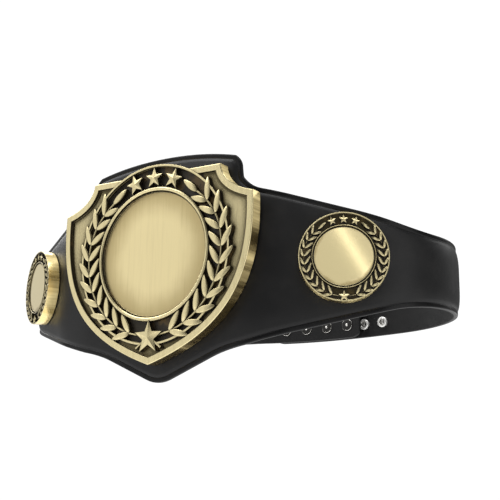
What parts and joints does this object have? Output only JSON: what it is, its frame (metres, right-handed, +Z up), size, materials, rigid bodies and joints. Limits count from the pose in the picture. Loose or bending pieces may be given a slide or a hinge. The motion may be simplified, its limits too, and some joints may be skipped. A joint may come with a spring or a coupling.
{
  "type": "championship title belt",
  "caption": "Padded black leather title belt, snapped closed round an open waist, with a cast antique-brass laurel shield on the front and a round laurel medal on each side",
  "frame": {"origin": "middle of the open waist, halfway between the inner faces of the belt's front and back and halfway up the strap's sides", "axes": "+X to the viewer's right along the waist's width, +Y from the shield to the back of the belt, +Z up"},
  "size_m": [0.4684, 0.2743, 0.2103],
  "materials": {
    "leather": "smooth black, satin",
    "antique_brass": "antique brass, polished on the high places and dark in the recesses",
    "black_snap": "gloss black",
    "chrome_snap": "polished chrome",
    "steel_screw": "plain steel"
  },
  "bodies": {
    "root": {"strap": "leather", "shield_plate": "antique_brass", "medal_left": "antique_brass", "medal_right": "antique_brass", "snap_stud_lower_1": "black_snap", "snap_stud_lower_2": "black_snap", "snap_stud_lower_3": "black_snap", "snap_stud_lower_4": "black_snap", "snap_stud_upper_1": "black_snap", "snap_stud_upper_2": "black_snap", "snap_stud_upper_3": "black_snap", "snap_stud_upper_4": "black_snap", "snap_socket_lower_1": "chrome_snap", "snap_socket_lower_2": "chrome_snap", "snap_socket_lower_3": "chrome_snap", "snap_socket_lower_4": "chrome_snap", "snap_socket_lower_5": "chrome_snap", "snap_socket_lower_6": "chrome_snap", "snap_socket_upper_1": "chrome_snap", "snap_socket_upper_2": "chrome_snap", "snap_socket_upper_3": "chrome_snap", "snap_socket_upper_4": "chrome_snap", "snap_socket_upper_5": "chrome_snap", "snap_socket_upper_6": "chrome_snap", "plate_screw_shield_upper_left": "steel_screw", "plate_screw_shield_upper_right": "steel_screw", "plate_screw_shield_lower_left": "steel_screw", "plate_screw_shield_lower_right": "steel_screw", "plate_screw_medal_left_lower": "steel_screw", "plate_screw_medal_left_upper": "steel_screw", "plate_screw_medal_right_lower": "steel_screw", "plate_screw_medal_right_upper": "steel_screw"}
  },
  "joints": []
}
